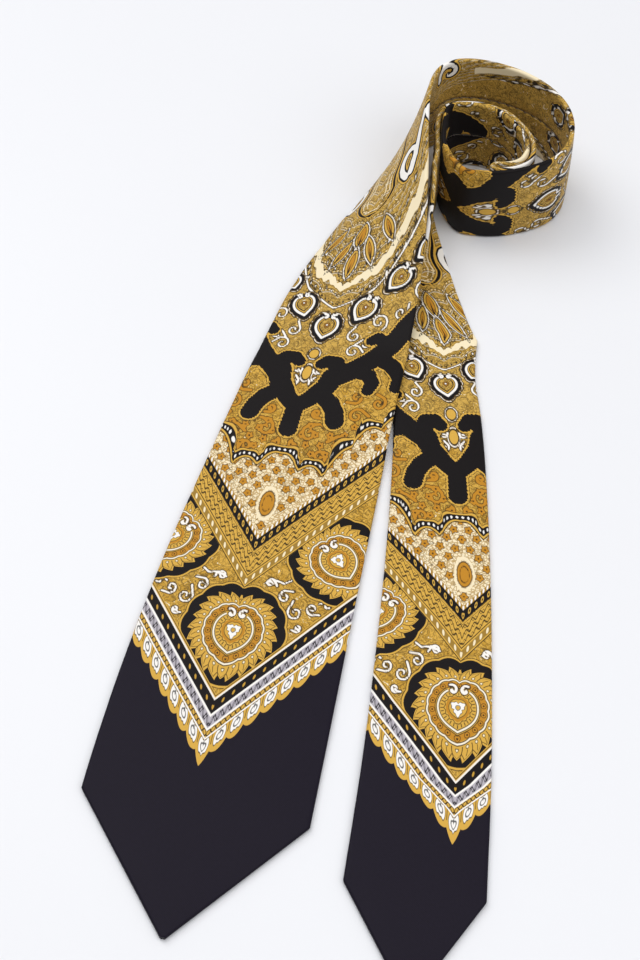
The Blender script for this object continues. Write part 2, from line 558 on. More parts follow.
class Side:
    """One side of the tie: rows across it, from its right edge to its left, at places along it."""

    def __init__(self, points, after, width, point, blade):
        self.line = smooth_line(points, after)
        self.s = lengths(self.line)
        self.right = right_of(np.gradient(self.line, axis=0))
        self.corner_w, self.point, self.blade, self.print_from = width, point, blade, 0.0
        self.end = self.s[-1]
        self.marks = self.s[::LINE_STEPS]

    def width(self, s):
        """Width of the tie above its point."""
        if self.blade:
            roll = NECK_W + ROLL_EXTRA
            flat = BLADE_W + (roll - BLADE_W) * ease(s / TAPER_L)
            return np.where(s < TAPER_L, flat, roll + (NECK_W - roll) * (s - TAPER_L) / (self.end - TAPER_L))
        return TAIL_W + (NECK_W - TAIL_W) * np.clip(s / TAIL_TAPER_L, 0, 1)

    def plan(self, s):
        """The right edge seen from above, and the direction across the tie there."""
        at = [np.interp(s, self.s, self.line[:, k]) - ORIGIN[k] for k in (0, 1)]
        return np.stack(at, -1), unit(np.stack([np.interp(s, self.s, self.right[:, k]) for k in (0, 1)], -1))

    def body_rows(self, s):
        """Rows across the tie above its point: flat at first, then turned up on the left edge."""
        base, right = self.plan(s)
        w = self.width(s)
        if self.blade:
            low = OVER * ease((s - OVER_FROM) / (OVER_TO - OVER_FROM))
            z = low + (w - low) * ease((s - RISE_FROM) / (RISE_TO - RISE_FROM))
            across = np.sqrt(np.maximum(w * w - z * z, 0))[:, None] * right
            top = np.column_stack([base, z])
            foot = np.column_stack([base - across, 0 * z])
            return np.stack([top, foot], 1)
        f = np.clip((s - CREASE_FROM) / (CREASE_TO - CREASE_FROM), 0, 1)
        flat = (w + CREASE_R) * (1 - f) - CREASE_R * f
        lean = LEAN_FROM + (90 - LEAN_FROM) * ease(f)
        k = np.arange(SIDE_STEPS)
        d = w / SIDE_STEPS
        turn = 180 - (180 - lean)[:, None] * ease(
            ((k[None] + 0.5) * d[:, None] - flat[:, None] + CREASE_R) / (2 * CREASE_R))
        turn = np.radians(turn)
        h = np.minimum(w, np.maximum(0, flat))[:, None] + np.concatenate(
            [np.zeros((len(s), 1)), np.cumsum(np.cos(turn) * d[:, None], 1)], 1)
        z = np.concatenate([np.zeros((len(s), 1)), np.cumsum(np.sin(turn) * d[:, None], 1)], 1)
        xy = base[:, None] + h[..., None] * right[:, None]
        return np.concatenate([xy, z[..., None]], -1)

    def rows(self, s):
        """Points and face normals of the rows at places s, which may lie in the point."""
        s = np.asarray(s, float)
        main = self.body_rows(np.maximum(s, 0))
        ahead = self.body_rows(np.maximum(s, 0) + 0.5)
        behind = self.body_rows(np.maximum(np.maximum(s, 0) - 0.5, 0))
        across = np.gradient(main, axis=1)
        normal = unit(np.cross(ahead - behind, across))
        tip = s < 0
        if tip.any():
            first = self.body_rows(np.array([0.0, 0.5]))
            back = unit(first[0, 0] - first[1, 0])
            a = unit(first[0, -1] - first[0, 0])
            f = 1 + s[tip] / self.point
            local = BLUNT + (self.corner_w - BLUNT) * f
            j = np.linspace(0, 1, main.shape[1])
            off = (self.corner_w - local)[:, None] / 2 + local[:, None] * j[None]
            main[tip] = first[0, 0] - back * s[tip][:, None, None] + a * off[..., None]
        return main, normal

    def local_width(self, s):
        """Width of the tie at s, which may lie in the point."""
        s = np.asarray(s, float)
        tip = BLUNT + (self.corner_w - BLUNT) * np.clip(1 + s / self.point, 0, 1)
        return np.where(s < 0, tip, self.width(np.maximum(s, 0)))


class Neck(Side):
    """The neck: the last of the blade's side, round the fold, and back along the tail's side."""

    def __init__(self, near, far, near_from, far_from):
        self.near, self.far, self.near_from, self.far_from = near, far, near_from, far_from
        self.length = near.end - near_from + far.end - far_from
        self.print_from = near_from

    def rows(self, s):
        turn = self.near.end - self.near_from
        first = s < turn
        rows, normals = self.near.rows(np.minimum(self.near_from + s, self.near.end - 0.5))
        back_s = np.clip(self.far.end - (s - turn), self.far_from, self.far.end - 0.5)
        far_rows, far_normals = self.far.rows(back_s)
        far_rows, far_normals = far_rows[:, [-1, 0]], far_normals[:, [-1, 0]]
        rows[~first], normals[~first] = far_rows[~first], far_normals[~first]
        return rows, normals

    def local_width(self, s):
        turn = self.near.end - self.near_from
        near = self.near.local_width(np.minimum(self.near_from + s, self.near.end))
        far = self.far.local_width(np.clip(self.far.end - (s - turn), 0, self.far.end))
        return np.where(s < turn, near, far)


def at(rows, normals, u, n):
    """Points at fractions u across the rows and heights n over their back."""
    m = rows.shape[1] - 1
    k = np.clip(np.floor(u * m), 0, m - 1).astype(int)
    f = (u * m - k)[..., None]
    i = np.arange(len(rows))[:, None]
    p = rows[i, k] * (1 - f) + rows[i, k + 1] * f
    return p + (normals[i, k] * (1 - f) + normals[i, k + 1] * f) * n[..., None]


def blade_give(s):
    """How far the blade's back flaps lie off the surface, to leave room for the keeper and label."""
    return GIVE * ease((s - BLADE_VENT + VENT_LEAD) / 8) * (1 - ease((s - BLADE_FLAT_AT) / 12))


def tail_give(s):
    """How far the tail's back flaps lie off the surface at the end of its vent."""
    return GIVE * ease((s - TAIL_VENT + VENT_LEAD) / 8) * (1 - ease((s - TAIL_VENT - TAIL_FLAT_AFTER) / 12))


def vent(s, w, corner_w, length):
    """Half the gap between the two back flaps: the open vent, then the closed seam."""
    return np.maximum(SEAM_GAP / 2, np.minimum((length - s) / length * (corner_w / 2 - HEM_W), w / 2 - HEM_W))


def folded_section(s, w, low, gap, front, flap):
    """Section of the folded silk: place across, height, and place on the cloth, right to left."""
    r = np.minimum(TIE_T / 2, w / 4)[:, None]
    w, low, gap = w[:, None], low[:, None], gap[:, None]
    reach = np.maximum(w / 2 - gap - r, 0.05)
    turn = np.minimum(TURN_IN, 0.6 * reach)
    high = np.full_like(w, TIE_T)
    edge_x = r + reach
    f = np.linspace(0, 1, 3)[None]
    x = [edge_x - turn * (1 - f) - 0.1, edge_x + 0 * f[:, :1]]
    n = [low + 0.45 + 0 * f, low + 0.22 + 0 * f[:, :1]]
    f = np.linspace(0, 1, flap)[None]
    x.append(edge_x - 0.1 - (reach - 0.1) * f)
    n.append(low + 0 * f)
    phi = np.linspace(0, np.pi, 8)[None, 1:-1]
    x.append(r - r * np.sin(phi))
    n.append((low + high) / 2 - (high - low) / 2 * np.cos(phi))
    x, n = np.concatenate(x, 1), np.concatenate(n, 1)
    f = np.linspace(0, 1, front)[None]
    fx = r + (w - 2 * r) * f
    crown = CROWN * (1 - np.abs(2 * f - 1) ** 3) * np.clip(w / 40, 0, 1)
    across = np.concatenate([x, fx, w - x[:, ::-1]], 1)
    height = np.concatenate([n, high + crown, n[:, ::-1]], 1)
    step = np.hypot(np.diff(across, axis=1), np.diff(height, axis=1))
    place = np.concatenate([np.zeros((len(w), 1)), np.cumsum(step, 1)], 1)
    middle = (place[:, :1] + place[:, -1:]) / 2
    return across, height, middle - place


# ---------------------------------------------------------------- the drawing of the print
BLADE_AXIS = ([0, 83, 124, 189, 237, 259, 290, 330], [-2.4, -4.0, -5.5, -8.2, -8.7, -7.2, -5.6, -4.0])
TAIL_AXIS = ([22, 81, 145, 183, 230, 270, 330], [13.0, 11.3, 12.0, 8.9, 6.6, 4.5, 2.0])
TAIL_MARKS = [-60, 22.2, 36.4, 47.5, 81.0, 102.5, 121.9, 145.6, 183.0, 229.6, 269.8, 330]
BLADE_MARKS = [-63, 18.5, 33.6, 48.8, 83.3, 104.7, 124.3, 150.3, 189.2, 236.8, 278.5, 341]
REPEAT = 385.0           # beyond this place the print turns back on itself
REPEAT_L = 175.0         # and runs this far before it turns again
FAR = 6.0                # the distance of a point that is near no drawn shape
FIELDS = ("black", "white", "amber", "cream", "solid_cream", "solid_gold", "line")


def spiral(x, y, size, heading, hand=1, turns=1.2, parts=14):
    """A scroll that winds in round its middle (x, y)."""
    f = np.linspace(0, 1, parts)
    r = size * (1 - 0.82 * f)
    a = heading + hand * turns * 2 * np.pi * f
    return np.column_stack([x + r * np.cos(a), y + 1.15 * r * np.sin(a)])


class Drawing:
    """Signed distances, in millimetres, from points of the cloth to the shapes printed on it."""

    def __init__(self, p, v):
        self.x, self.v = np.abs(p).astype(float), v.astype(float)
        self.fields = {name: np.full(len(p), FAR) for name in FIELDS}

    def near(self, low, high):
        """The points inside a box of the print."""
        return np.nonzero((self.x > low[0]) & (self.x < high[0]) & (self.v > low[1]) & (self.v < high[1]))[0]

    def draw(self, name, where, distance):
        """Add a shape to a field at the points in where."""
        field = self.fields[name]
        field[where] = np.minimum(field[where], distance)

    def clear(self, where, inside, names=FIELDS):
        """Lift everything drawn so far where inside is below nought."""
        for name in names:
            field = self.fields[name]
            field[where] = np.maximum(field[where], -inside)

    def stroke(self, name, points, start, end=None, reach=3.0):
        """A line through points, from one half-width to another."""
        points = np.asarray(points, float)
        end = start if end is None else end
        where = self.near(points.min(0) - reach - start, points.max(0) + reach + start)
        if not len(where):
            return
        q = np.column_stack([self.x[where], self.v[where]])
        best = np.full(len(where), 1e9)
        radius = np.linspace(start, end, len(points))
        for a, b, ra, rb in zip(points[:-1], points[1:], radius[:-1], radius[1:]):
            d = b - a
            f = np.clip(((q - a) @ d) / max(d @ d, 1e-9), 0, 1)
            best = np.minimum(best, np.linalg.norm(q - a - f[:, None] * d, axis=1) - (ra + (rb - ra) * f))
        self.draw(name, where, best)

    def heart_radius(self, x, v, turn, tall, tip, dip):
        """Radius and angle in a heart-shaped frame, with the angle nought at its lower tip."""
        dx, dy = self.x - x, self.v - v
        a, b = dx * math.cos(turn) + dy * math.sin(turn), -dx * math.sin(turn) + dy * math.cos(turn)
        b = b / tall
        angle = np.arctan2(a, -b)
        shape = 1 + tip * np.exp(-np.abs(angle) / 0.34) - dip * np.exp((np.abs(angle) - np.pi) / 0.36)
        return np.hypot(a, b) / shape, angle

    def medallion(self, x, v, turn=0.0, size=1.0):
        """The black ground of a medallion and the two curls at the top of its heart."""
        r, angle = self.heart_radius(x, v, turn, MEDALLION_TALL, 0.15, 0.14)
        r = r / size
        where = np.nonzero(r < 28)[0]
        if not len(where):
            return
        r, angle = r[where], angle[where]
        rim = 25.0 + 1.1 * np.abs(np.sin(angle * 7))
        self.clear(where, r - rim - 1.2)
        self.draw("black", where, (r - rim) * size)
        for side in (1, -1):
            bend = spiral(side * 3.0, 9.0, 2.6, math.pi / 2 - side * 0.7, side, 0.85)
            turned = np.column_stack([bend[:, 0] * math.cos(turn) - bend[:, 1] * math.sin(turn),
                                      bend[:, 0] * math.sin(turn) + bend[:, 1] * math.cos(turn)])
            self.stroke("white", turned * size + (x, v), 0.55 * size, 0.75 * size)

    def small_heart(self, x, v, turn=0.0, size=1.0):
        """One of the small hearts in the row before the great medallion."""
        r, angle = self.heart_radius(x, v, turn, 1.12, 0.42, 0.24)
        r = r / size
        where = np.nonzero(r < 12)[0]
        if not len(where):
            return
        r, angle = r[where], angle[where]
        rim = 7.0 + 0.55 * np.abs(np.sin(angle * 7))
        self.clear(where, r - rim - 1.0)
        self.draw("black", where, np.maximum(4.6 - r, r - rim) * size)
        self.draw("white", where, np.abs(r - rim - 0.5) - 0.18)
        self.draw("white", where, np.maximum(np.abs(r - 5.2) - 0.55, (np.abs(angle) - 2.5) * 5))
        self.draw("line", where, np.abs(r - 3.5) - 0.30)
        self.draw("amber", where, r - 1.4)
        self.draw("white", where, r - 0.55)
        for side in (1, -1):
            bend = spiral(side * 2.0, 4.9, 1.5, math.pi / 2 - side * 0.6, side, 0.8)
            turned = np.column_stack([bend[:, 0] * math.cos(turn) - bend[:, 1] * math.sin(turn),
                                      bend[:, 0] * math.sin(turn) + bend[:, 1] * math.cos(turn)])
            self.stroke("white", turned * size + (x, v), 0.5 * size)

    def scrolls(self, name, curls, width):
        """Curls, each given by its middle, size, heading and hand."""
        for x, v, size, heading, hand in curls:
            line = spiral(x, v, size, heading, hand)
            lead = line[0] - (line[1] - line[0]) * 1.4
            self.stroke(name, np.vstack([lead, line]), width, width * 0.75)

    def flowers(self):
        """Small flowers all over the lace field."""
        step = 8.4
        for i in range(-1, 9):
            for k in range(0, 12):
                x = i * step / 1.25 + (k % 2) * step / 2.5
                v = 138 + k * step * 0.62 + i * 0.8
                if v - CHEVRON * abs(x) < 135 or (x < 4.5 and abs(v - 150) < 9):
                    continue
                where = self.near((x - 4, v - 4), (x + 4, v + 4))
                if not len(where):
                    continue
                dx, dy = self.x[where] - x, (self.v[where] - v) / 1.15
                r, angle = np.hypot(dx, dy), np.arctan2(dy, dx)
                petals = 1.75 + 0.45 * np.cos(angle * 5 + i)
                self.draw("amber", where, r - petals)
                self.draw("line", where, r - 0.55)
        where = self.near((-1, 138), (7, 162))
        dx, dy = self.x[where], (self.v[where] - 150.3) / 2.1
        almond = np.hypot(dx, dy) - 3.3
        self.draw("amber", where, almond)
        self.draw("line", where, np.abs(almond + 1.2) - 0.2)
        self.draw("solid_cream", where, np.abs(almond - 0.9) - 0.45)

    def wavy_border(self):
        """The scalloped border over the lace, with its beads."""
        x = np.linspace(0, 110, 900)
        v = np.interp(x, [0, 8, 22, 33, 48, 110], [177, 170, 169, 190, 203, 255])
        v = v + 4.4 * np.abs(np.sin(np.pi * (x + 1.2) / 11.0))
        slope = np.gradient(v, x)
        run = np.concatenate([[0], np.cumsum(np.hypot(np.diff(x), np.diff(v)))])
        away = (self.v - np.interp(self.x, x, v)) / np.sqrt(1 + np.interp(self.x, x, slope) ** 2)
        along = np.interp(self.x, x, run)
        where = np.nonzero(np.abs(away) < 9)[0]
        d, l = away[where], along[where]
        self.draw("line", where, np.abs(d) - 0.22)
        self.draw("solid_gold", where, np.abs(d - 0.55) - 0.35)
        self.draw("black", where, np.abs(d - 2.6) - 1.35)
        bead = np.hypot((l % 2.7) - 1.35, d - 2.6) - 0.72
        self.draw("white", where, bead)
        lace = np.maximum(131.0 - (self.v - CHEVRON * self.x), away)
        near = np.nonzero(lace < 6)[0]
        self.draw("cream", near, lace[near])
        arch = np.abs(d + 3.4) - 0.4
        self.draw("solid_cream", where, arch)

    def baroque(self):
        """The black scroll silhouette with its drops and curls."""
        limbs = [
            ([(0, 193), (0, 199), (0, 208)], 3.9, 3.6),
            ([(0, 206), (6, 212), (11, 219), (13, 225)], 3.6, 5.0),
            ([(12, 221), (14.5, 229), (12, 234.5), (8, 235), (5.6, 232.4)], 4.6, 2.7),
            ([(11, 214), (16, 210), (19, 205), (20.3, 200)], 3.8, 3.9),
            ([(13, 225), (21, 231), (28, 239), (34, 249), (38.5, 261), (44, 270)], 5.2, 4.4),
            ([(33, 245), (30.5, 251), (27, 253), (24.5, 251)], 3.4, 2.4),
            ([(22, 231), (29, 229.5), (32, 225), (31, 220.5)], 3.8, 2.5),
            ([(31, 241), (39, 237), (44, 231), (43.5, 224.5)], 4.0, 2.6),
            ([(38.5, 261), (47, 256), (54, 246), (58, 236)], 4.2, 3.0),
        ]
        where = self.near((-1, 180), (75, 285))
        if not len(where):
            return
        before = self.fields["black"][where].copy()
        self.fields["black"][where] = FAR
        for points, start, end in limbs:
            self.stroke("black", points, start, end, reach=4.5)
        field = self.fields["black"]
        x, v = self.x[where], self.v[where]
        field[where] += 0.55 * np.sin(x * 3.1) * np.sin(v * 2.9 + 0.7) - 0.55
        shape = field[where].copy()
        self.clear(where, shape - 1.4, ("line", "amber", "white", "solid_gold", "solid_cream"))
        field[where] = np.minimum(shape, before)

    def great_medallion(self):
        """The large medallion above the hearts: a lobed rim, a cream zigzag, and leaves."""
        x, v = self.x, self.v
        rim = 267.5 + 0.043 * x * x + 2.0 * np.abs(np.sin(np.pi * x / 17.0))
        slope = np.sqrt(1 + (0.086 * x) ** 2)
        away = (v - rim) / slope
        where = np.nonzero((away > -3) & (v < 352) & (v > 255) & (x < 40))[0]
        if not len(where):
            return
        self.clear(where, -away[where] - 0.4, ("white", "line", "amber", "black"))
        d = away[where]
        self.draw("white", where, np.abs(d - 0.2) - 0.45)
        self.draw("line", where, np.hypot(x[where] % 2.4 - 1.2, d - 1.9) - 0.62)
        self.draw("line", where, np.abs(d - 3.1) - 0.2)
        zig = 277.0 + 0.050 * x * x + 4.2 * (1 - np.abs((x / 8.0) % 2 - 1)) + 1.2 * np.abs(np.sin(x * 0.9))
        band = np.abs((v - zig - 2.4) / np.sqrt(1 + (0.11 * x) ** 2)) - 1.9 - 0.5 * np.sin(x * 1.3)
        self.draw("solid_cream", where, band[where])
        self.draw("line", where, np.abs(band[where] - 0.35) - 0.2)
        self.draw("line", where, np.abs(band[where] - 2.2) - 0.18)
        self.draw("white", where, np.hypot((x[where] % 3.1) - 1.55, band[where] - 3.3) - 0.45)
        self.draw("line", where, np.abs(band[where] - 4.4 - 0.5 * np.sin(x[where] * 2.0)) - 0.2)
        for cx, cv, wide, tall, turn in ((0, 296, 2.6, 9.5, 0), (7.5, 303, 2.2, 9.0, -0.35),
                                         (0, 313, 3.2, 8.0, 0), (15, 314, 2.4, 8.5, -0.45)):
            dx, dy = x - cx, v - cv
            a = dx * math.cos(turn) - dy * math.sin(turn)
            b = dx * math.sin(turn) + dy * math.cos(turn)
            leaf = (np.abs(a) / wide + (b / tall) ** 2 - 1) * wide
            near = np.nonzero((leaf < 5) & (away > 4))[0]
            d = leaf[near]
            self.draw("solid_gold", near, d)
            self.draw("amber", near, d + 1.3)
            self.draw("line", near, np.abs(a[near]) + 0.05 * b[near] - 0.25 + np.maximum(d + 0.8, 0) * 5)
            self.draw("white", near, np.abs(d - 0.7) - 0.28)
            self.draw("line", near, np.abs(d - 1.9) - 0.18)
            self.draw("line", near, np.abs(d - 3.2 - 0.4 * np.sin(b[near] * 1.6)) - 0.20)

    def ogees(self):
        """Black-edged ogees, and pale curled paisleys beside them."""
        where = self.near((-1, 318), (60, 375))
        if not len(where):
            return
        x, v = self.x[where], self.v[where]
        half = 11.5 * np.clip((v - 325) / 12, 0, 1) ** 0.55 + 1.2 * np.sin((v - 325) / 4.0)
        ogee = np.maximum(x - half, 325.5 - v)
        self.clear(where, ogee - 0.8)
        self.draw("black", where, np.abs(ogee) - 0.85)
        self.draw("solid_cream", where, np.abs(ogee + 3.0) - 0.35)
        self.draw("solid_cream", where, np.abs(ogee + 5.6) - 0.35)
        self.stroke("black", spiral(22, 347, 8.2, -1.9, -1, 0.9), 2.7, 1.9)
        self.stroke("white", spiral(22, 347, 8.2, -1.9, -1, 0.9), 1.7, 1.0)
        self.stroke("black", [(22, 340), (25, 350), (27, 360), (30, 368)], 2.8, 2.2)
        self.stroke("white", [(22, 340), (25, 350), (27, 360), (30, 368)], 1.8, 1.2)
        self.stroke("black", spiral(37, 366, 7.0, 1.2, 1, 0.9), 2.5, 1.8)
        self.stroke("white", spiral(37, 366, 7.0, 1.2, 1, 0.9), 1.5, 0.9)

    def make(self):
        """All the shapes of the print, in the order in which they cover each other."""
        self.scrolls("white", [
            (24.5, 96.5, 3.6, 2.4, 1), (31.5, 99.5, 2.8, -1.0, -1), (18.5, 103.5, 3.0, 1.2, 1),
            (11.0, 109.3, 2.2, 0.2, 1), (37.5, 102.5, 2.3, 2.6, -1), (8.0, 65.0, 1.8, 1.0, 1),
            (20.0, 80.5, 1.6, 2.0, -1), (43.0, 108.5, 2.2, 1.0, 1), (27.0, 89.0, 1.8, -2.2, 1)], 0.48)
        self.stroke("white", [(9, 109), (13, 111), (17, 110), (21, 113), (24, 118)], 0.45)
        self.stroke("white", [(24, 118), (27, 121), (29, 120), (27, 116), (23, 112)], 0.45)
        for medallion in MEDALLIONS:
            self.medallion(*medallion)
        self.flowers()
        self.wavy_border()
        self.scrolls("amber", [
            (10.5, 192.0, 4.2, 1.4, 1), (25.5, 188.5, 4.0, 2.6, -1), (11.0, 203.5, 2.4, -1.2, -1),
            (29.5, 205.0, 4.0, 0.6, 1), (27.0, 215.5, 3.2, -2.0, 1), (38.0, 214.0, 3.8, 1.6, -1),
            (4.5, 184.5, 2.0, 2.6, 1), (17.5, 180.5, 3.4, -0.8, 1), (49.0, 222.0, 3.6, 1.0, 1)], 0.95)
        self.scrolls("white", [
            (4.5, 220.0, 2.2, 2.0, 1), (4.2, 228.0, 2.0, -1.0, -1), (17.5, 243.0, 4.0, 0.4, 1),
            (22.0, 248.5, 3.2, 2.8, -1), (24.5, 262.0, 4.6, -1.0, 1), (15.0, 252.5, 3.4, 2.2, 1),
            (33.5, 268.0, 3.4, 0.5, -1), (41.0, 280.0, 4.0, 2.0, 1), (52.0, 262.0, 4.4, 1.0, 1)], 0.46)
        near = self.near((-1, 214), (6, 244))
        for middle, wide, tall in ((238.5, 2.3, 3.0), (226.0, 2.2, 4.2)):
            oval = np.hypot(self.x[near] / wide, (self.v[near] - middle) / tall) * wide - wide
            self.draw("solid_gold", near, oval)
            self.draw("white", near, np.abs(oval - 0.6) - 0.22)
        self.baroque()
        self.great_medallion()
        self.small_heart(0, 257.5)
        self.small_heart(15.6, 269.5, -0.35, 0.95)
        self.small_heart(28.5, 286.5, -0.6, 0.9)
        self.small_heart(40.0, 300.0, -0.8, 0.85)
        self.ogees()
        return self.fields


def print_place(q, s, blade):
    """Where a point of the cloth lies on the print: across from its axis, and along."""
    if blade:
        p, v = q - np.interp(s, *BLADE_AXIS), s
    else:
        p, v = q - np.interp(s, *TAIL_AXIS), np.interp(s, TAIL_MARKS, BLADE_MARKS)
        v = np.where(s > TAIL_MARKS[-1], s + BLADE_MARKS[-1] - TAIL_MARKS[-1], v)
        v = np.where(s < TAIL_MARKS[0], s + BLADE_MARKS[0] - TAIL_MARKS[0], v)
    run = np.mod(v - REPEAT, 2 * REPEAT_L)
    return p, np.where(v > REPEAT, REPEAT - REPEAT_L + np.abs(run - REPEAT_L), v)


# ---------------------------------------------------------------- mesh making
def new_mesh(name, points, faces, uv=None, fields=None):
    """An object from points in millimetres, with its place on the cloth and its print."""
    mesh = bpy.data.meshes.new(name)
    mesh.from_pydata((points * MM).tolist(), [], faces.tolist() if hasattr(faces, "tolist") else faces)
    mesh.update()
    if uv is not None:
        index = np.empty(len(mesh.loops), np.int32)
        mesh.loops.foreach_get("vertex_index", index)
        layer = mesh.uv_layers.new(name="Cloth")
        layer.data.foreach_set("uv", (uv[index] / MM_PER_UV).astype(np.float32).ravel())
    for key, values in (fields or {}).items():
        attribute = mesh.attributes.new(key, "FLOAT", "POINT")
        attribute.data.foreach_set("value", values.astype(np.float32))
    mesh.shade_smooth()
    piece = bpy.data.objects.new(name, mesh)
    bpy.context.scene.collection.objects.link(piece)
    return piece


def grid_faces(rows, columns, closed=False):
    """Four-sided faces between rows of points, each row closed on itself where asked."""
    i = np.arange(rows - 1)[:, None] * columns
    j = np.arange(columns if closed else columns - 1)[None]
    k = (j + 1) % columns
    return np.stack([i + j, i + columns + j, i + columns + k, i + k], -1).reshape(-1, 4)


def fan(first, count, middle, flip):
    """Triangles that close a ring of points to one in its middle."""
    ring = np.arange(count) + first
    after = np.roll(ring, -1)
    faces = [(int(a), int(b), middle) for a, b in zip(ring, after)]
    return [f[::-1] for f in faces] if flip else faces


def strip_piece(name, side_rows, across, height, uv, fields=None, tip=False):
    """A mesh of the section at each row, closed at the point of the tie where tip is set."""
    rows, normals, widths = side_rows
    points = at(rows, normals, across / widths[:, None], height)
    r, c = points.shape[:2]
    faces = grid_faces(r, c).tolist()
    flat_points, flat_uv = points.reshape(-1, 3), uv.reshape(-1, 2)
    fields = dict(fields or {})
    if tip:
        flat_points = np.vstack([flat_points, points[0].mean(0)])
        flat_uv = np.vstack([flat_uv, uv[0].mean(0)])
        fields = {k: np.append(a, a[c // 2]) for k, a in fields.items()}
        faces += fan(0, c, r * c, True)
    return new_mesh(name, flat_points, faces, flat_uv, fields)


def silk_piece(name, side, s, give, gap, front, flap, blade, tip):
    """The folded silk between places s, with its print."""
    w = side.local_width(s)
    across, height, q = folded_section(s, w, give, gap, front, flap)
    p, v = print_place(q, np.repeat(s[:, None] + side.print_from, q.shape[1], 1), blade)
    fields = Drawing(p.ravel(), v.ravel()).make()
    rows, normals = side.rows(s)
    wander = 0.10 * np.sin(s / 17.0)[:, None] * np.sin(q / 13.0) + 0.07 * np.sin(s / 7.3 + 1)[:, None]
    height = height + wander * (height > TIE_T - 0.01) * np.clip(w / 40, 0, 1)[:, None]
    piece = strip_piece(name, (rows, normals, w), across, height, np.stack([p, v], -1), fields, tip)
    return piece, cut_area(across, height, s)


def cut_area(across, height, s):
    """Area, in square metres, of the cloth that was cut for a folded piece."""
    step = np.hypot(np.diff(across, axis=1), np.diff(height, axis=1)).sum(1)
    return float(np.trapz(step, s)) * MM * MM


def slab(name, side, s, low, high, left, right, rounded=0.0, columns=12):
    """A closed layer between heights low and high over the back, from left to right of the middle."""
    w = side.local_width(s)
    rows, normals = side.rows(s)
    f = np.linspace(0, 1, columns)[None]
    x = left[:, None] + (right - left)[:, None] * f
    bulge = rounded * np.sin(np.pi * f)
    across = np.concatenate([x, x[:, ::-1]], 1) + w[:, None] / 2
    height = np.concatenate([low[:, None] + bulge, high[:, None] + bulge + 0 * f], 1)
    points = at(rows, normals, across / w[:, None], height)
    r, c = points.shape[:2]
    uv = np.stack([np.concatenate([x, x[:, ::-1]], 1), np.repeat(s[:, None], c, 1)], -1)
    faces = grid_faces(r, c, closed=True).tolist()
    ends = [points[0].mean(0), points[-1].mean(0)]
    faces += fan(0, c, r * c, True) + fan((r - 1) * c, c, r * c + 1, False)
    flat_uv = np.vstack([uv.reshape(-1, 2), uv[0].mean(0), uv[-1].mean(0)])
    piece = new_mesh(name, np.vstack([points.reshape(-1, 3), ends]), faces, flat_uv)
    return piece, float(np.trapz(right - left, s)) * MM * MM


def thread_piece(name, runs, radius=0.16, sides=6):
    """Short lengths of thread, each along its own points."""
    points, faces = [], []
    for run in runs:
        run = np.asarray(run, float)
        along = unit(np.gradient(run, axis=0))
        other = unit(np.cross(along, np.array([0.13, 0.21, 0.97])))
        third = np.cross(along, other)
        swell = radius * np.sqrt(np.maximum(1 - (np.linspace(-1, 1, len(run)) ** 6), 0.05))
        a = np.arange(sides) * 2 * np.pi / sides
        ring = (run[:, None] + swell[:, None, None] * (np.cos(a)[None, :, None] * other[:, None]
                                                       + np.sin(a)[None, :, None] * third[:, None]))
        base = sum(len(p) for p in points)
        faces += (grid_faces(len(run), sides, closed=True) + base).tolist()
        faces.append([base + k for k in range(sides)])
        faces.append([base + (len(run) - 1) * sides + k for k in reversed(range(sides))])
        points.append(ring.reshape(-1, 3))
    return new_mesh(name, np.vstack(points), faces)


def back_points(side, s, offset, depth):
    """Points on the back of a side: at places s, offsets from its middle, and a depth."""
    s, offset, depth = (np.broadcast_to(np.asarray(a, float), np.shape(s)) for a in (s, offset, depth))
    rows, normals = side.rows(s)
    w = side.local_width(s)
    return at(rows, normals, (0.5 + offset / w)[:, None], depth[:, None])[:, 0]


def seam_stitches(side, start, end, give, pitch=5.0):
    """Slanting hand stitches that close the two flaps along the middle of the back."""
    runs = []
    for s in np.arange(start, end - 3, pitch):
        f = STITCH
        run = s + 1.4 + 1.2 * f
        runs.append(back_points(side, run, 0.75 * f, give(run) + 0.06 - 0.16 * (1 - f * f)))
    return runs


def bar_tack(side, place, give_depth, long=TACK_L):
    """A bar of close turns across the seam."""
    runs = []
    for k in range(5):
        f = np.linspace(-1, 1, 12)
        runs.append(back_points(side, place + 0.30 * k + 0.08 * np.sin(f * 9), f * long / 2,
                                give_depth - 0.12 + 0.05 * f * f))
    for k in range(22):
        f = STITCH
        runs.append(back_points(side, place + 0.6 + 0.85 * f, (k - 10.5) * long / 23 + 0 * f,
                                give_depth - 0.30 + 0.22 * f * f))
    return runs


# ---------------------------------------------------------------- the pieces
def finish_piece(piece, material):
    """Give a piece its material."""
    piece.data.materials.append(material)
    return piece


def fold_ends(joint, reach):
    """Start and end of the bend at a fold line: reach on either side of the joint, along the tie."""
    row = next(j for j in frame["joints"] if j["name"] == joint)
    at_joint = np.array(row["pos_m"], float)
    axis = np.array(row["axis"], float)
    along = np.array([-axis[1], axis[0], 0.0])
    along = along / np.linalg.norm(along) * (1 if along[1] > 0 else -1)
    return tuple(at_joint + along * reach), tuple(at_joint - along * reach)


def spaced(*spans):
    """Places along the tie: each span is (from, to, step)."""
    parts = [np.arange(a, b, step) for a, b, step in spans]
    return np.append(np.concatenate(parts), spans[-1][1])


add_camera()

bpy.ops.object.select_all(action="DESELECT")
bpy.ops.mesh.primitive_plane_add(size=6.0, location=(0, 0, -0.0003))
table = bpy.context.object
table.name = "table"
table.data.materials.append(table_top())

